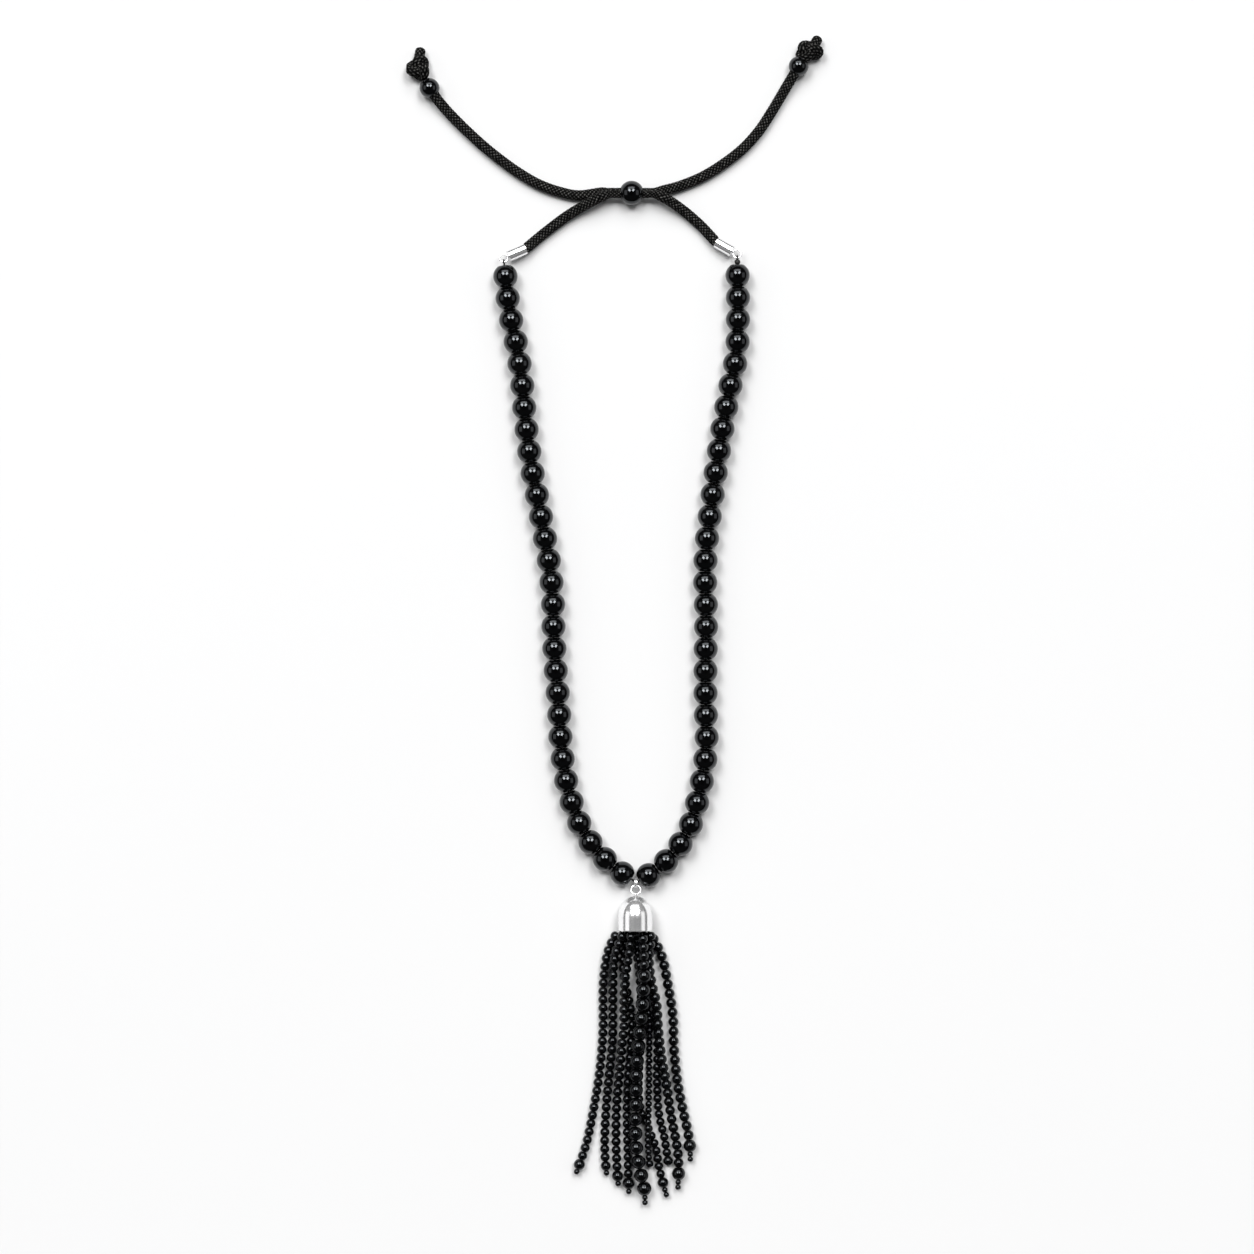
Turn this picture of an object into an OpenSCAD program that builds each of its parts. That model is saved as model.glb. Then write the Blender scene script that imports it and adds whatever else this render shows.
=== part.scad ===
// Adjustable bead necklace with a beaded tassel, laid out flat.
// Two rows of round beads meet at a small split ring that carries the tassel. At the top each row
// ends in a silver cap, and the two braided cords cross through one slider bead, which sets the size.
// X runs to the right, Y from the tassel towards the closure, Z up. Everything rests on z = 0.

/* [Main beads] */
// Diameter of a main bead
bead_d = 8; // [7:0.5:8]
// Length of a main bead along its hole
bead_len = 6.9; // [6.4:0.1:6.9]
// Diameter of the hole through a main bead
bead_bore = 1; // [0.9:0.1:1.4]
// Diameter of the black thread through the beads
thread_d = 0.8; // [0.5:0.1:0.8]

/* [Cord closure] */
// Diameter of the braided cord where nothing squeezes it
cord_d = 3.5; // [3:0.1:3.5]
// Diameter of the hole through the slider bead, which both cords share
slider_bore = 3.8; // [3.8:0.1:4.2]
// Diameter of the bead at the end of each cord tail
end_bead_d = 6.5; // [6:0.1:7]
// Outer diameter of the silver caps on the cords
cord_cap_d = 3.8; // [3.8:0.1:4.4]
// Length of the barrel of a cord cap
cord_cap_len = 6.1; // [5.5:0.1:6.1]

/* [Tassel] */
// Outer diameter of the tassel's silver cap at its mouth
dome_d = 11.1; // [10.5:0.1:11.5]
// Length of the tassel's silver cap
dome_len = 11.1; // [10.5:0.1:12]
// Wall of the tassel's silver cap
dome_wall = 0.5; // [0.4:0.1:0.8]
// Gap between two neighbouring beads of a tassel strand
small_gap = 0.14; // [0.12:0.02:0.3]

/* [Hidden] */
$fn = 48;

SIDES = ["left", "right"];
GROUPS = [1:6];
STRANDS = ["a", "b", "c", "d", "e", "f", "g", "h", "i", "j"];

// Colours
onyx = [0.03, 0.03, 0.035];
cord_black = [0.08, 0.08, 0.085];
silver = [0.86, 0.86, 0.87];

// Heights of the axes above the surface that the necklace lies on
bead_z = bead_d / 2;
dome_z = dome_d / 2;

// The two rows of main beads. A heading is the turn from straight down towards the other row.
pitch = bead_len + 0.32;
row_count = 29;
group_ends = [0, 5, 10, 15, 20, 25, row_count];
left_start = [-37.9, 136.2];
right_start = [37.9, 136.5];
left_headings = [
    [-1, 6], [0, 6], [2, 12], [5, 5], [7, 7], [9, 11], [12, 10], [15, 1], [18, 5],
    [20, 3], [22, 9], [24, 20], [27, 50.5], [28, 66]
];
right_headings = [
    [-1, 0], [0, -1], [2, 1], [4, 12], [7, 9], [11, 7], [14, -2], [16, 1], [18, 0],
    [20, -2], [22, 9], [24, 16], [27, 51.5], [28, 66]
];

// The ring eyes of the two cord caps, and the mouths of their barrels
left_eye = [-38.5, 142.15, 4];
right_eye = [37.8, 143.5, 4];
left_mouth = [-31.5, 145.3, 2.6];
right_mouth = [31.1, 147.4, 2.6];
eye_major = 1.33;
eye_wire_d = 0.55;

// The slider bead, and how far from its middle it squeezes the two cords as it travels
slider_at = [3.3, 163.4, 4];
slider_travel = 3.5;
squeeze_reach = slider_travel + 3.7;
squeezed_half_width = 1.4;
squeezed_half_height = 0.85;
pair_offset = 0.9;

// Each cord leaves its cap, rises to the slider, turns half round the other cord inside it, and
// ends at a knot. The angle is that of the cord about the slider's axis, by distance along X.
turn_angles = [[-14, 90], [-7.2, 120], [-3, 120], [3, -60], [7.2, -60], [14, -90]];
turn_steps = [-7.2, -5, -3, -2, -1, 0, 1, 2, 3, 5, 7.2];
left_cord_rise = [
    [-35.4, 143.4, 3.4], [-31.5, 145.3, 2.6], [-30.9, 145.7, 2.4], [-28, 148.2, 1.9],
    [-24.7, 150.9, 1.8], [-18, 155.9, 2.2], [-12, 159.4, 3.5], [-7, 161.9, 5.1]
];
left_cord_tail = [
    [14.5, 164.6, 2.2], [20, 166.2, 1.8], [27, 169.2, 1.8], [34, 173.6, 1.8],
    [40, 178.4, 1.8], [45, 184, 1.8], [49, 190, 1.8], [52.4, 195.7, 2], [54.8, 199.7, 2.7],
    [56.4, 202.4, 3.3], [59.3, 207.3, 3.3]
];
right_cord_rise = [
    [34.8, 145.2, 3.4], [31.1, 147.4, 2.6], [30.5, 147.9, 2.4], [28.3, 150.4, 1.9],
    [25.6, 153.2, 1.8], [21.1, 157.1, 2.3], [17, 160, 3.7], [13.6, 161.9, 5.1]
];
right_cord_tail = [
    [-7, 163.7, 1.8], [-14, 162.8, 1.8], [-20.4, 164, 1.8], [-27, 166.4, 1.8],
    [-33, 169.8, 1.8], [-39, 174, 1.8], [-45, 178.8, 1.8], [-51, 184.3, 1.8],
    [-56, 189.3, 2], [-59.3, 193, 2.7], [-61.1, 195.4, 3.3], [-64.3, 200.1, 3.3]
];

// End beads: middle, and the direction of the hole as an angle from X
left_end = [-62.7, 197.75, 3.3];
left_end_angle = 123.5;
right_end = [57.85, 204.85, 3.3];
right_end_angle = 59.5;
end_bead_len = 5.2;

// Knots: the middles of the lobes with their radii, and the tip of the cut end
left_knot = [[-65.9, 202.6, 3.1, 3], [-67.6, 204.6, 3.2, 2.7], [-64.9, 205.5, 3.6, 2.6]];
left_stub = [[-66, 205.6, 3.2], [-65.6, 210.6, 2]];
right_knot = [[60.9, 209.2, 3.1, 2.9], [59, 210.6, 3.2, 2.6], [63.6, 209.4, 3.2, 2.6]];
right_stub = [[62.2, 210.2, 3.2], [64.4, 214, 2]];

// The hanging link under the two rows
link_x = 4.7;
meeting_y = -61.1;
split_major = 1.45;
split_wire_d = 0.5;
split_pitch = 0.6;
split_y = meeting_y - 0.7;
jump_major = 1.575;
jump_wire_d = 0.55;
jump_tilt = 22;
jump_y = split_y - 0.75 - jump_major * cos(jump_tilt);
jump_z = bead_z + 0.3 + jump_major * sin(jump_tilt);
pin_eye_major = 0.8;
pin_wire_d = 0.45;
pin_y = jump_y - jump_major * cos(jump_tilt) - 0.19;
dome_x = 4.5;
dome_top_y = pin_y - pin_eye_major + 0.25;
mouth_y = dome_top_y - dome_len;

// Tassel strands: route points from the middle of the cap's mouth (X, Y) and from the surface (Z),
// then bead diameter, bead pitch, number of beads, end bead diameter and number of seed beads,
// and where the strand starts with smaller beads, how many of them it has
strand_origin = [4.2, mouth_y, 0];
seed_d = 1.9;
first_d = 3.2;
first_step = 2.8;
small_bore = 0.8;
strand_thread_d = 0.36;
strand_data = [
    // a: far left
    [[[-6.3, -1.9, 3.9], [-8.9, -8, 2.5], [-10.2, -18, 1.7], [-10.3, -33, 1.65], [-11.4, -46.5, 1.65],
      [-13.6, -60, 1.65], [-16, -71, 1.75], [-20, -82, 2.3]], 3.1, 2.72, 28, 3.7, 1],
    // b
    [[[-4.1, -1.9, 6.4], [-6.1, -7.5, 4.9], [-6.9, -14, 3.3], [-7, -24, 1.9], [-7.1, -36, 1.65],
      [-8, -46, 1.65], [-9.2, -58, 1.65], [-9.7, -72, 1.65], [-8.6, -84, 1.8]],
      3.1, 2.72, 28, 3.3, 1],
    // c
    [[[-1.2, -1.9, 7.8], [-1.8, -8, 6.8], [-2.9, -15, 5.5], [-3.3, -21, 4.7], [-3.4, -27, 4.1],
      [-3.4, -32, 4], [-4, -37, 3.7], [-4.8, -46, 3.1], [-5.8, -58, 1.8], [-5.9, -72, 1.7], [-5, -88, 2.1]],
      3.1, 2.72, 29, 3.7, 1],
    // d
    [[[-2.9, -1.9, 3.4], [-3.6, -8, 2.2], [-3.7, -13, 1.6], [-2.4, -20, 1.6], [-0.8, -29, 1.6],
      [-1.2, -38, 1.6], [-2, -48, 1.6], [-2.4, -60, 1.6], [-2.1, -74, 1.7], [-1.7, -90, 2.3]],
      3, 2.7, 30, 4, 1],
    // e: the large beads that lie on top
    [[[2.8, -2.5, 8.7], [3.2, -12, 8.7], [2.9, -20, 7.6], [2.4, -27, 6.6], [1.6, -35, 5.5],
      [0.7, -45, 5.3], [0.4, -60, 5.3], [0.5, -70, 5.1], [1.8, -78, 4], [3.4, -86, 2.6],
      [3.2, -98, 2.4]], 4.7, 4.72, 15, 4.8, 2, 4],
    // f: the thin strand
    [[[0.6, -1.6, 4.9], [1.4, -10, 4.3], [2.6, -18, 4.15], [4.1, -25, 3.5], [4.9, -30, 2.2],
      [4.9, -36, 1.25], [4.8, -46, 1.2], [4.7, -57, 2.3], [4.5, -64, 4.3], [4.4, -70, 3.6],
      [4.9, -76, 2], [5.2, -84, 1.4]], 2.2, 2, 38, 2.6, 0],
    // g
    [[[3, -1.8, 2.6], [4.6, -12, 1.6], [6.7, -24, 1.55], [7.6, -36, 1.55], [7.4, -49, 1.55],
      [8, -60, 1.55], [10, -69, 1.6], [12.3, -84, 1.8]], 2.9, 2.56, 29, 3.2, 0],
    // h
    [[[5.3, -1.9, 5.5], [4.8, -10, 4.9], [5.6, -17, 4.75], [7.2, -24, 4.8], [7.8, -32, 4.8],
      [8.8, -41, 4.6], [9.7, -46, 3.9], [10.6, -51, 2.8], [11.4, -57, 1.9], [12.4, -63, 1.75],
      [13.8, -70, 1.8], [14.5, -77, 2.2], [14, -90, 2.4]], 3.3, 2.9, 27, 4.4, 2],
    // i: far right
    [[[6.3, -3, 2.1], [9.1, -9, 1.9], [10.8, -17, 1.85], [12.6, -28, 1.85], [12.9, -38, 1.85],
      [14, -49, 1.85], [15.9, -59, 1.85], [17.7, -67, 2], [18.3, -74, 2.2], [18, -83, 2.2]],
      3.4, 3.12, 22, 4.2, 2],
    // j: mostly under the others
    [[[-0.2, -1.8, 1.7], [1.2, -11, 1.55], [1.9, -18, 1.55], [2.3, -30, 1.55], [1.9, -40, 1.55],
      [1.4, -50, 1.55], [1.9, -58, 1.55], [4.4, -64.5, 1.55], [6.9, -71, 1.6], [8.4, -79, 1.8],
      [12, -92, 2]], 2.9, 2.56, 32, 3.6, 2]
];

// ---------------------------------------------------------------- paths

function unit(v) = v / norm(v);
function flat_dir(heading) = [sin(heading), -cos(heading), 0];

// A smooth curve through hand-placed points, as a list of closer points
function curve_point(p, i, t) =
    let (last = len(p) - 1, a = p[max(i - 1, 0)], b = p[i], c = p[i + 1], d = p[min(i + 2, last)])
    0.5 * (2 * b + (c - a) * t + (2 * a - 5 * b + 4 * c - d) * t * t
        + (3 * b - a - 3 * c + d) * t * t * t);
function curve(p, steps) = concat(
    [for (i = [0:len(p) - 2], k = [0:steps - 1]) curve_point(p, i, k / steps)], [p[len(p) - 1]]
);

// The distance along a path of each of its points, and the point at a given distance
function distances(path) = [
    for (i = 0, s = 0; i < len(path); i = i + 1, s = s + (i < len(path) ? norm(path[i] - path[i - 1]) : 0))
        s
];
function point_at(path, along, s) = [
    for (axis = [0:2]) lookup(s, [for (i = [0:len(path) - 1]) [along[i], path[i][axis]]])
];

// A closed tube along a path. Each ring has its own half sizes and its own up direction.
function tangent(path, i) = unit(path[min(i + 1, len(path) - 1)] - path[max(i - 1, 0)]);
function ring_points(middle, along, up, half_width, half_height, sides) =
    let (side = unit(cross(along, up)), top = cross(side, along))
    [for (k = [0:sides - 1])
        middle + side * half_width * cos(360 * (k + 0.5) / sides)
            + top * half_height * sin(360 * (k + 0.5) / sides)];

module tube(path, sizes, ups, sides) {
    rings = len(path);
    points = [for (i = [0:rings - 1])
        each ring_points(path[i], tangent(path, i), ups[i], sizes[i][0], sizes[i][1], sides)];
    walls = [for (i = [0:rings - 2], k = [0:sides - 1])
        let (a = i * sides + k, b = i * sides + (k + 1) % sides)
        each [[a, a + sides, b], [b, a + sides, b + sides]]];
    first = [for (k = [1:sides - 2]) [0, k, k + 1]];
    base = (rings - 1) * sides;
    last = [for (k = [1:sides - 2]) [base, base + k + 1, base + k]];
    polyhedron(points, concat(walls, first, last), convexity = 10);
}

module plain_tube(path, d, sides) {
    tube(path, [for (p = path) [d / 2, d / 2]], [for (p = path) [0, 0, 1]], sides);
}

// ---------------------------------------------------------------- main beads and thread

function start_of(side) = side == "left" ? left_start : right_start;
function turn_sign(side) = side == "left" ? 1 : -1;
function heading_at(side, i) =
    turn_sign(side) * lookup(i, side == "left" ? left_headings : right_headings);
function bead_heading(side, i) = (heading_at(side, i - 1) + heading_at(side, i)) / 2;
// Where the row bends sharply, the rims of two neighbouring beads push them further apart
function step_after(side, i) =
    let (bend = abs(bead_heading(side, i + 1) - bead_heading(side, i)), rim = acos(bead_len / bead_d))
    max(pitch, bead_d * cos(rim - bend / 2) + 0.05);
function row(side) = [
    for (i = 0, p = [start_of(side).x, start_of(side).y, bead_z]; i < row_count;
        p = p + step_after(side, i) * flat_dir(heading_at(side, i)), i = i + 1) p
];

// Where the thread enters and leaves bead i
function bore_ends(side, p, i) =
    let (half = bead_len / 2 * flat_dir(bead_heading(side, i))) [p - half, p + half];

// A drilled bead about the origin, its hole along Z
module drilled_bead(d, length, bore) {
    difference() {
        intersection() {
            sphere(d = d);
            cylinder(d = d + 1, h = length, center = true);
        }
        cylinder(d = bore, h = length + 1, center = true);
    }
}

module beads(side, g) {
    p = row(side);
    color(onyx)
        for (i = [group_ends[g - 1]:group_ends[g] - 1])
            translate(p[i]) rotate([0, 0, bead_heading(side, i)]) rotate([90, 0, 0])
                drilled_bead(bead_d, bead_len, bead_bore);
}

// The thread is one length; each bending group of beads holds its own stretch of it, which ends
// just outside the group's last bore
module thread(side, g) {
    p = row(side);
    stub = 0.06;
    first = group_ends[g - 1];
    last = group_ends[g] - 1;
    ends = [for (i = [first:last]) each bore_ends(side, p[i], i)];
    before = first == 0 ? loop_foot(side) : ends[0] - stub * flat_dir(bead_heading(side, first));
    after = last == row_count - 1
        ? [link_x - turn_sign(side) * 0.25, meeting_y, bead_z]
        : ends[len(ends) - 1] + stub * flat_dir(bead_heading(side, last));
    color(cord_black) plain_tube(concat([before], ends, [after]), thread_d, 8);
}

// The loop of thread that ties a row to the eye of its cord cap
loop_wire_d = 0.55;
loop_major = 0.72;
function eye_at(side) = side == "left" ? left_eye : right_eye;
function loop_dir(side) = unit([start_of(side).x, start_of(side).y, bead_z] - eye_at(side));
function loop_middle(side) = eye_at(side) + (eye_major + 0.05) * loop_dir(side);
function loop_foot(side) = loop_middle(side) + (loop_major + 0.2) * loop_dir(side);

module thread_loop(side) {
    knot_d = 1.9;
    knot_at = 2.62;
    heading = atan2(loop_dir(side).x, -loop_dir(side).y);
    color(cord_black) {
        translate(loop_middle(side)) rotate([0, 0, heading]) rotate([0, 90, 0])
            wire_ring(loop_major, loop_wire_d);
        // The right row's knot stands clear of its first bead; the left one's is drawn into the hole
        if (side == "right") translate(eye_at(side) + knot_at * loop_dir(side)) sphere(d = knot_d);
    }
}

// ---------------------------------------------------------------- cord closure

function cord_angle(s, x) = lookup(x - slider_at.x, turn_angles) + (s == "left" ? 0 : 180);
function turn_points(s) = [
    for (dx = turn_steps)
        slider_at + [
            dx,
            pair_offset * cos(cord_angle(s, slider_at.x + dx)),
            pair_offset * sin(cord_angle(s, slider_at.x + dx))
        ]
];
function backwards(p) = [for (i = [len(p) - 1:-1:0]) p[i]];
function cord_route(s) = s == "left"
    ? concat(left_cord_rise, turn_points(s), left_cord_tail)
    : concat(right_cord_rise, backwards(turn_points(s)), right_cord_tail);

// A cord is round, except where its cap crimps it and where the slider squeezes the pair
function cord_half_sizes(route, i) =
    let (near = abs(route[i].x - slider_at.x), crimped = cord_cap_d / 2 - 0.36)
    i < 2 ? [crimped, crimped]
    : near < squeeze_reach + 0.1 ? [squeezed_half_width, squeezed_half_height]
    : [cord_d / 2, cord_d / 2];

module cord(s) {
    route = cord_route(s);
    sizes = [for (i = [0:len(route) - 1]) cord_half_sizes(route, i)];
    ups = [for (p = route) let (a = cord_angle(s, p.x)) [0, cos(a), sin(a)]];
    color(cord_black) tube(route, sizes, ups, 8);
}

module slider_bead() {
    length = 2 * sqrt(pow(bead_d / 2, 2) - pow(slider_bore / 2, 2)) - 0.1;
    color(onyx) translate(slider_at) rotate([0, 90, 0]) drilled_bead(bead_d, length, slider_bore);
}

module end_bead(side) {
    at = side == "left" ? left_end : right_end;
    angle = side == "left" ? left_end_angle : right_end_angle;
    color(onyx) translate(at) rotate([0, 0, angle]) rotate([0, 90, 0])
        drilled_bead(end_bead_d, end_bead_len, cord_d + 0.2);
}

module end_knot(side) {
    lobes = side == "left" ? left_knot : right_knot;
    stub = side == "left" ? left_stub : right_stub;
    color(cord_black) {
        hull() for (p = lobes) translate([p[0], p[1], p[2]]) sphere(r = p[3], $fn = 24);
        hull() for (p = stub) translate(p) sphere(d = cord_d, $fn = 24);
    }
}

module cord_cap(side) {
    eye = eye_at(side);
    mouth = side == "left" ? left_mouth : right_mouth;
    reach = norm(eye - mouth);
    run = eye - mouth;
    base_wall = 0.6;
    neck_d = 1;
    color(silver) translate(mouth) rotate([0, 0, atan2(run.y, run.x)])
        rotate([0, 90 - asin(run.z / reach), 0]) {
            difference() {
                cylinder(d = cord_cap_d, h = cord_cap_len);
                translate([0, 0, -1]) cylinder(d = cord_cap_d - 0.6, h = cord_cap_len + 1 - base_wall);
            }
            translate([0, 0, cord_cap_len - base_wall / 2])
                cylinder(d = neck_d, h = reach - eye_major - cord_cap_len + base_wall / 2);
            translate([0, 0, reach]) rotate([0, 90, 0]) wire_ring(eye_major, eye_wire_d);
        }
}

// ---------------------------------------------------------------- link and tassel cap

module wire_ring(major, wire_d) {
    rotate_extrude() translate([major, 0]) circle(d = wire_d);
}

module split_ring() {
    color(silver) translate([link_x, split_y, bead_z]) rotate([0, 90, 0]) {
        for (s = [-1, 1]) translate([0, 0, s * split_pitch / 2]) wire_ring(split_major, split_wire_d);
        translate([split_major, 0, 0]) cylinder(d = 0.4, h = split_pitch, center = true);
    }
}

module jump_ring() {
    color(silver) translate([link_x, jump_y, jump_z]) rotate([-jump_tilt, 0, 0])
        wire_ring(jump_major, jump_wire_d);
}

module eye_pin() {
    stem_len = 3.4;
    color(silver) translate([dome_x, pin_y, dome_z]) {
        rotate([0, 90, 0]) wire_ring(pin_eye_major, pin_wire_d);
        translate([0, -pin_eye_major, 0]) rotate([90, 0, 0]) cylinder(d = 0.6, h = stem_len);
    }
}

// Outer radius of the silver cap at distance t from its top
function dome_radius(t) =
    let (nose = 6.8) dome_d / 2 * (t < nose ? sqrt(1 - pow(1 - t / nose, 2) * 0.93) * 0.99 : 0.99
        + 0.01 * (t - nose) / (dome_len - nose));

module tassel_cap() {
    steps = 16;
    hole_r = 0.9;
    outer = [for (k = [0:steps]) let (t = dome_len * pow(k / steps, 1.4)) [dome_radius(t), t]];
    inner = [for (k = [steps:-1:0])
        let (t = dome_wall + (dome_len - dome_wall) * pow(k / steps, 1.4))
        [dome_radius(t - dome_wall * 0.6) - dome_wall, t]];
    color(silver) translate([dome_x, dome_top_y, dome_z]) rotate([90, 0, 0])
        rotate_extrude() polygon(concat([[hole_r, 0]], outer, inner, [[hole_r, dome_wall]]));
}

// The strands' threads are bound into one bundle inside the silver cap
module thread_gather() {
    profile = [[0, 3.6], [1.2, 3.7], [2.8, 5], [4.2, 7], [4.7, 9], [4.7, 10.4], [4.3, 10.7], [0, 10.7]];
    color(cord_black) translate([dome_x, dome_top_y, dome_z]) rotate([90, 0, 0])
        rotate_extrude() polygon(profile);
}

// ---------------------------------------------------------------- tassel strands

// Where strand n leaves the bundle inside the cap, and its whole path from there
function strand_first(n) = strand_data[n][0][0] + strand_origin;
function strand_root(n) =
    let (
        mouth = [dome_x, mouth_y + 0.25, dome_z], aside = strand_first(n) - mouth,
        gathered = min(0.85, (dome_d / 2 - 1.25) / norm([aside.x, aside.z]))
    )
    [mouth.x + gathered * aside.x, mouth.y, mouth.z + gathered * aside.z];
function strand_path(n) =
    curve(concat([strand_root(n)], [for (p = strand_data[n][0]) p + strand_origin]), 6);
function strand_lead(n) = norm(strand_first(n) - strand_root(n));

// Beads of strand n as [distance along the strand, diameter, length], top to tip
function strand_beads(n) =
    let (
        data = strand_data[n], step = data[2], count = data[3], end_step = data[4] * 0.92,
        lead = strand_lead(n), small = is_undef(data[6]) ? 0 : data[6],
        start = lead + (small > 0 ? (small - 0.5) * first_step + step / 2 : 0),
        end_at = start + (count - 0.5) * step + end_step / 2,
        seed_step = seed_d * 0.86
    )
    concat(
        [for (k = [0:1:small - 1]) [lead + k * first_step, first_d, first_step - small_gap]],
        [for (k = [0:count - 1]) [start + k * step, data[1], step - small_gap]],
        [[end_at, data[4], end_step - small_gap]],
        [for (k = [1:1:data[5]])
            [end_at + end_step / 2 + (k - 0.5) * seed_step, seed_d, seed_step - small_gap]]
    );

module strand(n) {
    path = strand_path(n);
    along = distances(path);
    color(onyx)
        for (b = strand_beads(n)) {
            at = point_at(path, along, b[0]);
            run = unit(point_at(path, along, b[0] + 0.6) - point_at(path, along, max(b[0] - 0.6, 0)));
            translate(at) rotate([0, 0, atan2(run.y, run.x)]) rotate([0, acos(run.z), 0])
                drilled_bead(b[1], b[2], small_bore);
        }
}

module strand_thread(n) {
    path = strand_path(n);
    along = distances(path);
    stops = [for (b = strand_beads(n)) b[0]];
    color(cord_black)
        plain_tube(concat([path[0]], [for (s = stops) point_at(path, along, s)]), strand_thread_d, 6);
}

// ---------------------------------------------------------------- nodes

slider_bead();
for (s = SIDES) {
    cord(s);
    end_bead(s);
    end_knot(s);
    cord_cap(s);
    thread_loop(s);
    for (g = GROUPS) {
        beads(s, g);
        thread(s, g);
    }
}
split_ring();
jump_ring();
eye_pin();
tassel_cap();
thread_gather();
for (n = [0:len(STRANDS) - 1]) {
    strand(n);
    strand_thread(n);
}
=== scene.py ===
"""Looks for the beaded cord necklace: polished beads, braided cords, silver findings and a bead tassel."""
import math

import bpy
import numpy as np
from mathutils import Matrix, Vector


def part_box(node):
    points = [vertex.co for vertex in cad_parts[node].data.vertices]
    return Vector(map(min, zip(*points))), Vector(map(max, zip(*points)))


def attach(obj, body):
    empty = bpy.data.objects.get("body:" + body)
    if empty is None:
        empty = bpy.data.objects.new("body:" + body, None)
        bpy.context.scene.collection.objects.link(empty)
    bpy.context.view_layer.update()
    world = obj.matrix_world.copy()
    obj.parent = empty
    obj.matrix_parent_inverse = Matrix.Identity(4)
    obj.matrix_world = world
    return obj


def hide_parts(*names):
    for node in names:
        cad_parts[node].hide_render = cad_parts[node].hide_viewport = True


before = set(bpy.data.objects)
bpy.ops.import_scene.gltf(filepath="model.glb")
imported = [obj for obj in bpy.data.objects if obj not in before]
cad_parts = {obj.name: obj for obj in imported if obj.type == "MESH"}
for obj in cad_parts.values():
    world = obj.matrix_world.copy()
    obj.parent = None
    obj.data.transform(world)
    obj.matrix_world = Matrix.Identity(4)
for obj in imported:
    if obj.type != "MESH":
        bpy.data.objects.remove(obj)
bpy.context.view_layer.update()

MM = 0.001
SIDES = ("left", "right")
GROUPS = range(1, 7)
STRANDS = "abcdefghij"
CAMERA_HEIGHT = 1.5
CAMERA_OVER = (0.0018, 0.0217)
WIDTH_AT_BEADS = 0.4094
BEAD_HEIGHT = 0.004
LIGHT_DISTANCE = 8.0
LIT_SPOT = (0, 0.02, 0)
FLOOR_HALF = 3.0


# ------------------------------------------------------------------ camera, floor and light

def look_at(thing, target):
    thing.rotation_mode = "QUATERNION"
    thing.rotation_quaternion = (Vector(target) - thing.location).to_track_quat("-Z", "Y")


def make_camera():
    """Straight above the necklace, with the necklace's length up the picture."""
    data = bpy.data.cameras.new("camera")
    camera = bpy.data.objects.new("camera", data)
    bpy.context.collection.objects.link(camera)
    seen_width = WIDTH_AT_BEADS * CAMERA_HEIGHT / (CAMERA_HEIGHT - BEAD_HEIGHT)
    camera.location = (*CAMERA_OVER, CAMERA_HEIGHT)
    data.sensor_width = 36
    data.lens = data.sensor_width * CAMERA_HEIGHT / seen_width
    data.clip_start, data.clip_end = 0.01, 20
    bpy.context.scene.camera = camera


def make_floor():
    mesh = bpy.data.meshes.new("floor")
    corners = [(x * FLOOR_HALF, y * FLOOR_HALF, 0) for x, y in ((-1, -1), (1, -1), (1, 1), (-1, 1))]
    mesh.from_pydata(corners, [], [(0, 1, 2, 3)])
    floor = bpy.data.objects.new("floor", mesh)
    bpy.context.collection.objects.link(floor)
    mesh.materials.append(floor_material())


def soft_box(name, seen_at, span, radiance):
    """A softbox placed so that each bead shows its highlight at seen_at, in shares of the bead's radius."""
    nx, ny = seen_at
    nz = math.sqrt(1 - nx * nx - ny * ny)
    direction = Vector((2 * nz * nx, 2 * nz * ny, 2 * nz * nz - 1))
    data = bpy.data.lights.new(name, "AREA")
    data.shape = "RECTANGLE"
    data.size, data.size_y = (2 * LIGHT_DISTANCE * s for s in span)
    data.energy = math.pi * data.size * data.size_y * radiance
    light = bpy.data.objects.new(name, data)
    bpy.context.collection.objects.link(light)
    light.location = Vector(LIT_SPOT) + LIGHT_DISTANCE * direction
    look_at(light, LIT_SPOT)


def make_lights():
    """Two softboxes side by side beyond the closure, a broad dim one past them, and a faint one each side."""
    soft_box("box_left", (-0.17, 0.2), (0.15, 0.2), 15)
    soft_box("box_right", (0.13, 0.2), (0.15, 0.2), 15)
    soft_box("box_behind", (-0.03, 0.4), (0.5, 0.18), 3.6)
    soft_box("side_left", (-0.48, 0.02), (0.36, 0.26), 0.95)
    soft_box("side_right", (0.47, 0.02), (0.36, 0.24), 0.8)


def make_world():
    """Soft light from the whole room, darker straight above, where the camera is."""
    world = bpy.data.worlds.new("room")
    bpy.context.scene.world = world
    world.use_nodes = True
    tree = world.node_tree
    tree.nodes.clear()
    place = tree.nodes.new("ShaderNodeTexCoord")
    split = tree.nodes.new("ShaderNodeSeparateXYZ")
    colours = tree.nodes.new("ShaderNodeValToRGB")
    shade = tree.nodes.new("ShaderNodeBackground")
    out = tree.nodes.new("ShaderNodeOutputWorld")
    tree.links.new(place.outputs["Generated"], split.inputs[0])
    tree.links.new(split.outputs["Z"], colours.inputs[0])
    tree.links.new(colours.outputs["Color"], shade.inputs["Color"])
    tree.links.new(shade.outputs[0], out.inputs[0])
    greys = [(0.0, 0.025), (0.12, 0.04), (0.45, 0.06), (0.8, 0.06), (0.97, 0.02)]
    set_stops(colours, [(at, (grey, grey, grey * 1.02)) for at, grey in greys])


# ------------------------------------------------------------------ materials

def new_material(name):
    material = bpy.data.materials.new(name)
    material.use_nodes = True
    nodes = material.node_tree.nodes
    return material, nodes, material.node_tree.links, nodes["Principled BSDF"]


def set_stops(node, stops):
    """The (position, colour) stops of a colour ramp node."""
    keys = node.color_ramp.elements
    while len(keys) < len(stops):
        keys.new(0.5)
    for key, (at, colour) in zip(keys, stops):
        key.position = at
        key.color = (*colour, 1)


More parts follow.
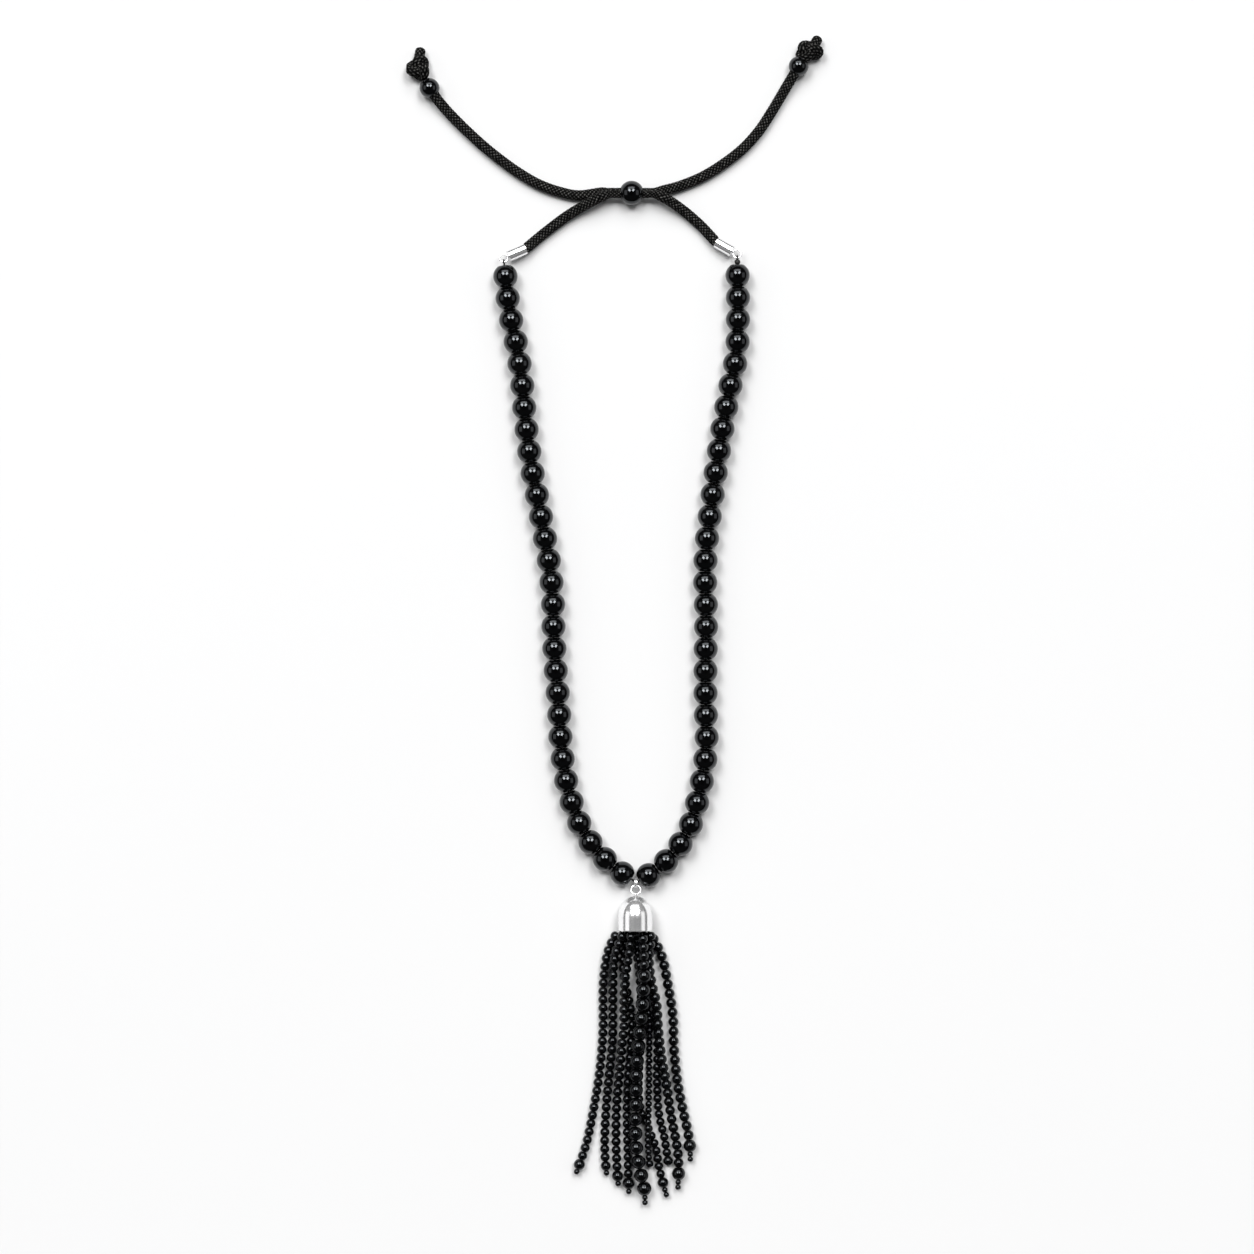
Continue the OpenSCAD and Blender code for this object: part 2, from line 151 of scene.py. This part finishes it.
def noise(nodes, links, scale, detail):
    texture = nodes.new("ShaderNodeTexNoise")
    texture.inputs["Scale"].default_value = scale
    texture.inputs["Detail"].default_value = detail
    place = nodes.new("ShaderNodeTexCoord")
    links.new(place.outputs["Object"], texture.inputs["Vector"])
    return texture


def ramp(nodes, links, source, stops):
    node = nodes.new("ShaderNodeValToRGB")
    set_stops(node, stops)
    links.new(source, node.inputs[0])
    return node.outputs["Color"]


def spread(nodes, links, source, low, high, source_high=1.0):
    """source, from 0 to source_high, mapped to low to high."""
    node = nodes.new("ShaderNodeMapRange")
    node.inputs["From Max"].default_value = source_high
    node.inputs["To Min"].default_value = low
    node.inputs["To Max"].default_value = high
    links.new(source, node.inputs["Value"])
    return node.outputs["Result"]


def bump(nodes, links, shader, height, distance, strength):
    node = nodes.new("ShaderNodeBump")
    node.inputs["Distance"].default_value = distance
    node.inputs["Strength"].default_value = strength
    links.new(height, node.inputs["Height"])
    links.new(node.outputs["Normal"], shader.inputs["Normal"])


def floor_material():
    material, nodes, links, shader = new_material("white_surface")
    cloud = noise(nodes, links, 3.0, 2.0)
    whites = [(0, (0.73, 0.73, 0.732)), (1, (0.745, 0.745, 0.745))]
    links.new(ramp(nodes, links, cloud.outputs["Fac"], whites), shader.inputs["Base Color"])
    shader.inputs["Roughness"].default_value = 0.9
    shader.inputs["Specular IOR Level"].default_value = 0.1
    return material


def onyx_material(name, cloud_scale, ior):
    """Polished black stone: a faint cloudiness that differs from bead to bead, and finger-softened gloss."""
    material, nodes, links, shader = new_material(name)
    cloud = noise(nodes, links, cloud_scale, 4.0)
    own = nodes.new("ShaderNodeNewGeometry").outputs["Random Per Island"]
    mix = nodes.new("ShaderNodeMath")
    mix.operation = "MULTIPLY_ADD"
    links.new(own, mix.inputs[0])
    mix.inputs[1].default_value = 0.35
    links.new(cloud.outputs["Fac"], mix.inputs[2])
    stone = [
        (0.35, (0.0003, 0.0003, 0.0004)), (0.75, (0.0007, 0.0007, 0.0008)), (1.0, (0.0015, 0.0014, 0.0013)),
    ]
    links.new(ramp(nodes, links, mix.outputs[0], stone), shader.inputs["Base Color"])
    smears = noise(nodes, links, cloud_scale * 2.3, 2.0)
    links.new(spread(nodes, links, smears.outputs["Fac"], 0.04, 0.11), shader.inputs["Roughness"])
    shader.inputs["IOR"].default_value = ior
    shader.inputs["Specular Tint"].default_value = (0.9, 0.95, 1, 1)
    grain = noise(nodes, links, 5200, 2.0)
    bump(nodes, links, shader, grain.outputs["Fac"], 0.00001, 0.12)
    return material


def braid_material():
    """Round braided polyester cord. The mesh carries how high each yarn stands and where it runs; the colour
    paints a highlight on the raised yarn crowns and shade in the low valleys between them.
    """
    material, nodes, links, shader = new_material("black_braid")
    crown = nodes.new("ShaderNodeAttribute")
    crown.attribute_name = "crown"
    lie = nodes.new("ShaderNodeUVMap")
    lie.uv_map = "yarn"
    fibres = nodes.new("ShaderNodeTexWave")
    fibres.wave_type = "BANDS"
    fibres.bands_direction = "X"
    fibres.inputs["Scale"].default_value = 1.6
    fibres.inputs["Distortion"].default_value = 1.2
    fibres.inputs["Detail"].default_value = 1.5
    links.new(lie.outputs["UV"], fibres.inputs["Vector"])
    mottle = noise(nodes, links, 900, 3.0)
    lift = nodes.new("ShaderNodeMath")
    lift.operation = "MULTIPLY_ADD"
    links.new(mottle.outputs["Fac"], lift.inputs[0])
    lift.inputs[1].default_value = 0.5
    links.new(crown.outputs["Fac"], lift.inputs[2])
    # painted highlight on the yarn crowns and painted shade in the valleys between yarns, driven by how high
    # each yarn stands
    yarn = [
        (0.58, (0.001, 0.001, 0.001)), (0.7, (0.006, 0.006, 0.0058)), (0.8, (0.068, 0.067, 0.064)),
        (0.88, (0.15, 0.147, 0.142)),
    ]
    glint_and_shade_mask = spread(nodes, links, lift.outputs[0], 0, 1, source_high=1.5)
    links.new(ramp(nodes, links, glint_and_shade_mask, yarn), shader.inputs["Base Color"])
    links.new(spread(nodes, links, mottle.outputs["Fac"], 0.38, 0.62), shader.inputs["Roughness"])
    shader.inputs["Specular IOR Level"].default_value = 0.02
    bump(nodes, links, shader, fibres.outputs["Fac"], 0.00006, 0.5)
    return material


def thread_material(name):
    """Thin waxed thread, twisted, seen between the beads."""
    material, nodes, links, shader = new_material(name)
    twist = nodes.new("ShaderNodeTexWave")
    twist.bands_direction = "DIAGONAL"
    twist.inputs["Scale"].default_value = 900
    twist.inputs["Distortion"].default_value = 2
    place = nodes.new("ShaderNodeTexCoord")
    links.new(place.outputs["Object"], twist.inputs["Vector"])
    blacks = [(0, (0.002, 0.002, 0.002)), (1, (0.012, 0.011, 0.01))]
    links.new(ramp(nodes, links, twist.outputs["Fac"], blacks), shader.inputs["Base Color"])
    shader.inputs["Roughness"].default_value = 0.55
    bump(nodes, links, shader, twist.outputs["Fac"], 0.00004, 0.5)
    return material


def silver_material(name, low_rough, high_rough):
    """Polished silver with hair-fine scratches and soft wear."""
    material, nodes, links, shader = new_material(name)
    wear = noise(nodes, links, 420, 4.0)
    silvers = [(0.3, (0.93, 0.93, 0.94)), (0.8, (0.99, 0.99, 0.99))]
    links.new(ramp(nodes, links, wear.outputs["Fac"], silvers), shader.inputs["Base Color"])
    # painted reflection: metallic 0.8 leaves a near-white diffuse share that brightens the silver in place of
    # reflected bright surroundings
    shader.inputs["Metallic"].default_value = 0.8
    links.new(spread(nodes, links, wear.outputs["Fac"], low_rough, high_rough), shader.inputs["Roughness"])
    scratches = noise(nodes, links, 2600, 1.0)
    bump(nodes, links, shader, scratches.outputs["Fac"], 0.00001, 0.1)
    return material


ONYX = onyx_material("polished_onyx", 170, 1.5)
SMALL_ONYX = onyx_material("polished_onyx_small", 420, 1.45)
BRAID = braid_material()
THREAD = thread_material("waxed_thread")
SILVER = silver_material("polished_silver", 0.13, 0.21)
SMALL_SILVER = silver_material("silver_wire", 0.05, 0.1)


# ------------------------------------------------------------------ mesh helpers

def add_piece(name, verts, faces, material, body, slot, replaced):
    """One smooth-shaded mesh that rides on a body and stands for CAD nodes."""
    mesh = bpy.data.meshes.new(name)
    mesh.from_pydata([tuple(v) for v in verts], [], faces)
    mesh.materials.append(material)
    mesh.polygons.foreach_set("use_smooth", [True] * len(mesh.polygons))
    mesh.update()
    piece = bpy.data.objects.new(name, mesh)
    bpy.context.collection.objects.link(piece)
    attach(piece, body)
    if replaced:
        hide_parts(*replaced)
    return piece


def islands(node):
    """The separate solids of a CAD node, each as an array of its points."""
    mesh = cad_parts[node].data
    points = np.empty(len(mesh.vertices) * 3)
    mesh.vertices.foreach_get("co", points)
    points, same = np.unique(np.round(points.reshape(-1, 3), 7), axis=0, return_inverse=True)
    same = same.ravel()
    edges = np.empty(len(mesh.edges) * 2, int)
    mesh.edges.foreach_get("vertices", edges)
    edges = same[edges].reshape(-1, 2)
    label = np.arange(len(points))
    while True:
        before = label.copy()
        low = np.minimum(label[edges[:, 0]], label[edges[:, 1]])
        np.minimum.at(label, edges[:, 0], low)
        np.minimum.at(label, edges[:, 1], low)
        label = label[label]
        if (label == before).all():
            return [points[label == k] for k in np.unique(label)]


def bead_of(points):
    """(centre, axis, radius, half length, bore radius) of a drilled bead from the points of its solid."""
    centre = (points.min(0) + points.max(0)) / 2
    off = points - centre
    reach = np.linalg.norm(off, axis=1)
    radius = reach.max()
    bore_edge = off[reach < 0.997 * radius]
    axis = np.linalg.svd(bore_edge - bore_edge.mean(0))[2][0]
    along = np.abs(bore_edge @ axis)
    across = np.linalg.norm(bore_edge - np.outer(bore_edge @ axis, axis), axis=1)
    return centre, axis, radius, along.max(), across.min()


def bead_profile(radius, half, bore, steps):
    """A bead's half section from rim to rim as (along the hole, out from it), then back through the hole."""
    soften = 0.05 * radius
    reach = half - soften * 0.35
    outer = []
    for k in range(steps + 1):
        along = reach * math.sin(math.pi * (k / steps - 0.5))
        outer.append((along, math.sqrt(radius ** 2 - along ** 2)))
    rim = outer[-1][1]
    edge = [(half, rim - soften), (half, (rim + bore) / 2), (half, bore + soften), (half - soften, bore)]
    start = [(-a, r) for a, r in reversed(edge)]
    return start + outer + edge


def revolve(profile, sides):
    """A closed profile turned about the X axis, as vertices and faces."""
    turn = np.linspace(0, 2 * math.pi, sides, endpoint=False)
    verts = [(a, r * math.cos(t), r * math.sin(t)) for a, r in profile for t in turn]
    faces = []
    rings = len(profile)
    for i in range(rings):
        low, high = i * sides, (i + 1) % rings * sides
        for k in range(sides):
            n = (k + 1) % sides
            faces.append((low + k, low + n, high + n, high + k))
    return np.array(verts), faces


def turned_to(axis):
    """Rotation that takes the X axis to axis."""
    return np.array(Vector((1, 0, 0)).rotation_difference(Vector(axis)).to_matrix())


def joined(shapes):
    """One mesh's vertices and faces from several."""
    faces, base = [], 0
    for verts, own in shapes:
        faces += [tuple(base + i for i in face) for face in own]
        base += len(verts)
    return np.concatenate([verts for verts, _ in shapes]), faces


def bead_piece(node, body, material, sides, steps):
    """All the beads of a node, finely turned, with softened rims and a real hole."""
    beads = []
    for points in islands(node):
        centre, axis, radius, half, bore = bead_of(points)
        shape, faces = revolve(bead_profile(radius, half, bore, steps), sides)
        beads.append((shape @ turned_to(axis).T + centre, faces))
    return add_piece(node + "_polished", *joined(beads), material, body, "onyx", [node])


def tube(points, radius, sides):
    """A round tube along points, closed at both ends."""
    p = np.array(points, float)
    n = len(p)
    ahead = np.roll(p, -1, 0) - np.roll(p, 1, 0)
    ahead[0], ahead[-1] = p[1] - p[0], p[-1] - p[-2]
    ahead /= np.linalg.norm(ahead, axis=1)[:, None]
    side = np.cross(ahead[0], (0, 0, 1))
    turn = np.linspace(0, 2 * math.pi, sides, endpoint=False)
    verts = []
    for i in range(n):
        side = side - ahead[i] * (side @ ahead[i])
        side /= np.linalg.norm(side)
        up = np.cross(side, ahead[i])
        for t in turn:
            verts.append(p[i] + radius * (math.cos(t) * side - math.sin(t) * up))
    return np.array(verts), tube_faces(n, sides)


def tube_faces(rings, sides):
    """The walls and both end faces of a tube of rings of points."""
    faces = []
    for i in range(rings - 1):
        low, high = i * sides, (i + 1) * sides
        for k in range(sides):
            m = (k + 1) % sides
            faces.append((low + k, high + k, high + m, low + m))
    faces.append(tuple(range(sides)))
    faces.append(tuple(range((rings - 1) * sides, rings * sides))[::-1])
    return faces


# ------------------------------------------------------------------ the thread through the main beads

# painted shade: a flat black disc between neighbouring beads, so that the gap between them reads dark
SHADE_DISC_PROFILE = [
    (-0.09, 0.3), (-0.1, 0.9), (-0.08, 1.4), (0, 1.62), (0.08, 1.4), (0.1, 0.9), (0.09, 0.3),
]
SHADE_DISC_GAP = 0.11
PLY_RADIUS = 0.2
PLY_OFFSET = 0.17
PLY_PITCH = 1.1
END_BAND = 0.2


def plied(route, offset, pitch, phase):
    """One ply of a thread: a helix of the given offset and pitch around route."""
    ahead = np.gradient(route, axis=0)
    ahead /= np.linalg.norm(ahead, axis=1)[:, None]
    side = np.cross(ahead, (0, 0, 1))
    side /= np.linalg.norm(side, axis=1)[:, None]
    up = np.cross(side, ahead)
    along = np.concatenate(([0], np.cumsum(np.linalg.norm(np.diff(route, axis=0), axis=1))))
    turn = (2 * math.pi * along / pitch + phase)[:, None]
    return route + offset * (side * np.cos(turn) + up * np.sin(turn))


def thread_ends(node):
    """The middles of a CAD thread's upper and lower end faces."""
    line = islands(node)[0]
    y = line[:, 1]
    upper, lower = y > y.max() - END_BAND * MM, y < y.min() + END_BAND * MM
    return line[upper].mean(0), line[lower].mean(0)


def row_thread(side, group):
    """Two-ply thread through a group of beads, with a flat black disc pressed between neighbouring beads as
    painted shade, darkening the gap between them.
    """
    node = f"{side}_thread_{group}"
    beads = [bead_of(points) for points in islands(f"{side}_beads_{group}")]
    beads.sort(key=lambda bead: -bead[0][1])
    start, end = thread_ends(node)
    route = [start]
    knots = []
    for centre, axis, _, half, _ in beads:
        down = axis if axis[1] < 0 else -axis
        route += [centre - half * down, centre + half * down]
        knots.append((centre + (half + SHADE_DISC_GAP * MM) * down, down))
    route.append(end)
    if group == GROUPS[-1]:
        knots.pop()
    route = resample(np.array(route), 0.12 * MM)[0]
    parts = [
        tube(plied(route, PLY_OFFSET * MM, PLY_PITCH * MM, phase), PLY_RADIUS * MM, 10)
        for phase in (0, math.pi)
    ]
    # painted shade: the black discs that darken the gaps between beads
    for middle, down in knots:
        shape, faces = revolve(SHADE_DISC_PROFILE, 28)
        ripple = 1 + 0.07 * np.sin(7 * np.arctan2(shape[:, 2], shape[:, 1]))
        shape = shape * np.stack([np.ones(len(shape)), ripple, ripple], 1) * MM
        parts.append((shape @ turned_to(down).T + middle, faces))
    return add_piece(f"{node}_plied", *joined(parts), THREAD, f"{side}_{group}", "thread", [node])


# ------------------------------------------------------------------ braided cords

CORD_R = 1.75
SQUEEZED = (1.4, 0.85)
SQUEEZE_REACH = 7.3
SLIDER = (3.3, 163.4, 4.0)
PAIR_OFFSET = 0.9
CRIMPED = 1.54
CRIMPED_POINTS = 2
TURN_ANGLES = ((-14, 90), (-7.2, 120), (-3, 120), (3, -60), (7.2, -60), (14, -90))
TURN_STEPS = (-7.2, -5, -3, -2, -1, 0, 1, 2, 3, 5, 7.2)
RISE = {
    "left": [
        (-35.4, 143.4, 3.4), (-31.5, 145.3, 2.6), (-30.9, 145.7, 2.4), (-28, 148.2, 1.9),
        (-24.7, 150.9, 1.8), (-18, 155.9, 2.2), (-12, 159.4, 3.5), (-7, 161.9, 5.1),
    ],
    "right": [
        (34.8, 145.2, 3.4), (31.1, 147.4, 2.6), (30.5, 147.9, 2.4), (28.3, 150.4, 1.9),
        (25.6, 153.2, 1.8), (21.1, 157.1, 2.3), (17, 160, 3.7), (13.6, 161.9, 5.1),
    ],
}
TAIL = {
    "left": [
        (14.5, 164.6, 2.2), (20, 166.2, 1.8), (27, 169.2, 1.8), (34, 173.6, 1.8),
        (40, 178.4, 1.8), (45, 184, 1.8), (49, 190, 1.8), (52.4, 195.7, 2), (54.8, 199.7, 2.7),
        (56.4, 202.4, 3.3), (59.3, 207.3, 3.3),
    ],
    "right": [
        (-7, 163.7, 1.8), (-14, 162.8, 1.8), (-20.4, 164, 1.8), (-27, 166.4, 1.8),
        (-33, 169.8, 1.8), (-39, 174, 1.8), (-45, 178.8, 1.8), (-51, 184.3, 1.8),
        (-56, 189.3, 2), (-59.3, 193, 2.7), (-61.1, 195.4, 3.3), (-64.3, 200.1, 3.3),
    ],
}


def pair_angle(side, x):
    """The angle of a cord about the slider's axis, in degrees, at x."""
    at, angles = zip(*TURN_ANGLES)
    return float(np.interp(x - SLIDER[0], at, angles)) + (0 if side == "left" else 180)


def cord_route(side):
    """The route of a cord in mm: up from its cap, round its neighbour in the slider, and out to its tail."""
    turn = []
    x, y, z = SLIDER
    for dx in TURN_STEPS:
        a = math.radians(pair_angle(side, x + dx))
        turn.append((x + dx, y + PAIR_OFFSET * math.cos(a), z + PAIR_OFFSET * math.sin(a)))
    if side == "right":
        turn.reverse()
    return RISE[side] + turn + TAIL[side]


def smooth_curve(points, steps):
    """Catmull-Rom curve through points."""
    p = [np.array(q, float) for q in points]
    last = len(p) - 1
    out = []
    for i in range(last):
        a, b, c, d = p[max(i - 1, 0)], p[i], p[i + 1], p[min(i + 2, last)]
        for k in range(steps):
            t = k / steps
            out.append(0.5 * (2 * b + (c - a) * t + (2 * a - 5 * b + 4 * c - d) * t * t
                              + (3 * b - a - 3 * c + d) * t ** 3))
    out.append(p[last])
    return np.array(out)


def resample(points, step):
    """The same line with evenly spaced points, and the distance along it of each."""
    along = np.concatenate(([0], np.cumsum(np.linalg.norm(np.diff(points, axis=0), axis=1))))
    stops = np.linspace(0, along[-1], max(2, int(round(along[-1] / step)) + 1))
    return np.stack([np.interp(stops, along, points[:, k]) for k in range(3)], 1), stops


YARNS = 8
YARN_PITCH = 1.32


def braid_height(around, along):
    """How high the braid stands, 0 to 1, and the lie of the yarns there. around is in turns, along in mm."""
    a = YARNS * around + along / YARN_PITCH
    b = YARNS * around - along / YARN_PITCH
    first_on_top = (np.floor(a) + np.floor(b)) % 4 < 2
    own = np.where(first_on_top, a, b)
    other = np.where(first_on_top, b, a)
    across = np.abs(np.sin(math.pi * own))
    lengthways = 0.72 + 0.28 * np.abs(np.sin(math.pi * other))
    return across ** 0.55 * lengthways, own, other


def braided_tube(points, half_sizes, ups, sides, step, depth=0.2, ends=None):
    """A braided cord along points, in mm. half_sizes and ups are given at each of the points."""
    path, along = resample(points, step)
    raw = np.concatenate(([0], np.cumsum(np.linalg.norm(np.diff(points, axis=0), axis=1))))
    wide = np.interp(along, raw, [s[0] for s in half_sizes])
    tall = np.interp(along, raw, [s[1] for s in half_sizes])
    up = np.stack([np.interp(along, raw, np.array(ups)[:, k]) for k in range(3)], 1)
    ahead = np.gradient(path, axis=0)
    ahead /= np.linalg.norm(ahead, axis=1)[:, None]
    side = np.cross(ahead, up)
    side /= np.linalg.norm(side, axis=1)[:, None]
    top = np.cross(side, ahead)
    around = np.arange(sides) / sides
    grid_around, grid_along = np.meshgrid(around, along)
    height, own, other = braid_height(grid_around, grid_along)
    shrink = np.ones(len(along)) if ends is None else ends(along, along[-1])
    angle = 2 * math.pi * around
    lower = depth * (1 - height)
    verts = (path[:, None]
             + side[:, None] * ((wide[:, None] - lower) * shrink[:, None] * np.cos(angle))[..., None]
             + top[:, None] * ((tall[:, None] - lower) * shrink[:, None] * np.sin(angle))[..., None])
    lie = np.stack([own.ravel(), other.ravel()], 1)
    return verts.reshape(-1, 3), tube_faces(len(path), sides), height.ravel(), lie


def braided_piece(name, parts, body, replaced):
    """A mesh of one or more braided tubes, with the braid's height and lie kept on it for the material."""
    verts, faces = joined([part[:2] for part in parts])
    crown = np.concatenate([part[2] for part in parts])
    lie = np.concatenate([part[3] for part in parts])
    piece = add_piece(name, verts * MM, faces, BRAID, body, "braided_cord", replaced)
    mesh = piece.data
    mesh.attributes.new("crown", "FLOAT", "POINT").data.foreach_set("value", crown)
    corner = np.empty(len(mesh.loops), int)
    mesh.loops.foreach_get("vertex_index", corner)
    mesh.uv_layers.new(name="yarn").data.foreach_set("uv", lie[corner].ravel())
    return piece


def half_sizes_at(p, index):
    """Half width and half height of a cord at a point of its route: crimped, squeezed or round."""
    if index < CRIMPED_POINTS:
        return (CRIMPED, CRIMPED)
    return SQUEEZED if abs(p[0] - SLIDER[0]) < SQUEEZE_REACH else (CORD_R, CORD_R)


def make_cord(side):
    """A braided cord, its route in metres and its length."""
    route = cord_route(side)
    steps = 8
    line = smooth_curve(route, steps)
    sizes_by_point = [half_sizes_at(p, i) for i, p in enumerate(route)]
    sizes, ups = [], []
    for j, p in enumerate(line):
        i, t = divmod(j, steps)
        low = sizes_by_point[i]
        high = sizes_by_point[min(i + 1, len(route) - 1)]
        t = t / steps
        ease = t * t * (3 - 2 * t)
        sizes.append([low[k] + (high[k] - low[k]) * ease for k in (0, 1)])
        a = math.radians(pair_angle(side, p[0]))
        ups.append((0, math.cos(a), math.sin(a)))
    part = braided_tube(line, sizes, ups, 72, 0.15)
    cord = braided_piece(f"braided_cord_{side}", [part], "closure", [f"cord_{side}"])
    path = resample(line, 1.0)[0] * MM
    length = float(np.linalg.norm(np.diff(path, axis=0), axis=1).sum())
    return cord, path, length


# ------------------------------------------------------------------ knots at the ends of the cords

KNOT_YARN_R = 1.62
KNOT_SIZE = 0.93
KNOT_WEAVE = 1.25
KNOT_STEPS = 90
MELTED = 1.3
KNOTS = {
    "left": {
        "middle": (-66.3, 204.3, 3.3), "spin": 35, "squash": (1.0, 1.05),
        "stub": [(-66.6, 205.3, 3.4), (-66.0, 208.2, 2.9), (-65.6, 211.0, 2.0)],
    },
    "right": {
        "middle": (61.1, 209.7, 3.2), "spin": 80, "squash": (1.22, 0.78),
        "stub": [(61.8, 210.4, 3.2), (63.4, 212.6, 2.6), (64.6, 214.6, 2.0)],
    },
}


def end_taper(along, total):
    """Closes the last bit of a cut end into a round, melted tip."""
    left = np.clip((total - along) / MELTED, 0, 1)
    return 0.12 + 0.88 * np.sqrt(1 - (1 - left) ** 2)


def knot_loops(middle, spin, squash):
    """The closed path of an overhand knot, a trefoil turned by spin degrees and squashed."""
    loops = []
    for k in range(KNOT_STEPS):
        t = 2 * math.pi * k / KNOT_STEPS
        x, y = math.sin(t) + 2 * math.sin(2 * t), math.cos(t) - 2 * math.cos(2 * t)
        a = math.radians(spin)
        x, y = x * math.cos(a) - y * math.sin(a), x * math.sin(a) + y * math.cos(a)
        off = np.array([x * squash[0], y * squash[1], -KNOT_WEAVE * math.sin(3 * t)])
        loops.append(middle + KNOT_SIZE * off)
    loops.append(loops[0])
    return np.array(loops)


def make_knot(side):
    """A tight overhand knot of the same cord, and the cut end that sticks out of it."""
    knot = KNOTS[side]
    middle = np.array(knot["middle"])
    loops = knot_loops(middle, knot["spin"], knot["squash"])
    ups = [(p - middle) / np.linalg.norm(p - middle) for p in loops]
    turns = braided_tube(loops, [(KNOT_YARN_R, KNOT_YARN_R)] * len(loops), ups, 56, 0.17)
    line = smooth_curve(knot["stub"], 8)
    sizes, upward = [(CORD_R, CORD_R)] * len(line), [(0, 0, 1)] * len(line)
    tip = braided_tube(line, sizes, upward, 56, 0.16, ends=end_taper)
    piece = braided_piece(f"braided_knot_{side}", [turns, tip], "closure", [f"end_knot_{side}"])
    fit_in_box(piece, *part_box(f"end_knot_{side}"))
    return piece


def fit_in_box(piece, low, high):
    """Keeps a soft piece inside the CAD box, so that it neither sinks nor grows."""
    for v in piece.data.vertices:
        for k in range(3):
            v.co[k] = min(max(v.co[k], low[k]), high[k])


# ------------------------------------------------------------------ silver

CAP_WALL = 0.5 * MM
CAP_HOLE = 0.9 * MM
CAP_LIP = 0.16 * MM
NOSE_SHARE = 6.8 / 11.1
CAP_STEPS = 48


def cap_profile(length, radius):
    """Outside then inside of the bullet-shaped cap, from its top, as (down its axis, out from it)."""
    nose = NOSE_SHARE * length

    def outline(t):
        if t < nose:
            return radius * 0.99 * math.sqrt(max(1 - (1 - t / nose) ** 2 * 0.93, 0))
        return radius * (0.99 + 0.01 * (t - nose) / (length - nose))

    shares = [(k / CAP_STEPS) ** 1.7 for k in range(CAP_STEPS + 1)]
    outer = [(length * share, outline(length * share)) for share in shares]
    outer[-1] = (length - CAP_LIP * 0.5, radius)
    rim = [
        (length - CAP_LIP * 0.15, radius - CAP_LIP * 0.3),
        (length, radius - CAP_WALL * 0.5),
        (length - CAP_LIP * 0.15, radius - CAP_WALL + CAP_LIP * 0.2),
    ]
    inner = []
    for share in reversed(shares):
        t = CAP_WALL + (length - CAP_WALL) * share
        inner.append((min(t, length - CAP_LIP), outline(max(t - CAP_WALL * 0.6, 0)) - CAP_WALL))
    return [(0, CAP_HOLE)] + outer + rim + inner + [(CAP_WALL, CAP_HOLE)]


def make_tassel_cap():
    """The silver cap, turned to the size of its CAD node and open towards the strands."""
    low, high = (np.array(c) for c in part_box("tassel_cap"))
    radius = (high[0] - low[0]) / 2
    top = np.array([(low[0] + high[0]) / 2, high[1], (low[2] + high[2]) / 2])
    shape, faces = revolve(cap_profile(high[1] - low[1], radius), 96)
    verts = shape @ turned_to((0, -1, 0)).T + top
    return add_piece("tassel_cap_polished", verts, faces, SILVER, "tassel", "silver", ["tassel_cap"])


def dress_node(node, material):
    """A CAD node whose shape stays gets its finish."""
    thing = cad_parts[node]
    if not thing.material_slots:
        thing.data.materials.append(material)
    for slot in thing.material_slots:
        slot.material = material


# ------------------------------------------------------------------ build

make_camera()

cords = {side: make_cord(side) for side in SIDES}
knots = {side: make_knot(side) for side in SIDES}
ends = {side: bead_piece(f"end_bead_{side}", "closure", ONYX, 64, 32) for side in SIDES}

make_floor()
make_lights()
make_world()

bead_piece("slider_bead", "slider", ONYX, 72, 36)
for side in SIDES:
    for group in GROUPS:
        bead_piece(f"{side}_beads_{group}", f"{side}_{group}", ONYX, 64, 32)
        row_thread(side, group)
    dress_node(f"thread_loop_{side}", THREAD)
    dress_node(f"cord_cap_{side}", SMALL_SILVER)
for letter in STRANDS:
    bead_piece(f"strand_{letter}", f"strand_{letter}", SMALL_ONYX, 32, 16)
    dress_node(f"strand_thread_{letter}", THREAD)
dress_node("thread_gather", THREAD)
make_tassel_cap()
for node in ("split_ring", "jump_ring", "eye_pin"):
    dress_node(node, SMALL_SILVER)

bpy.context.scene.view_settings.view_transform = "Standard"
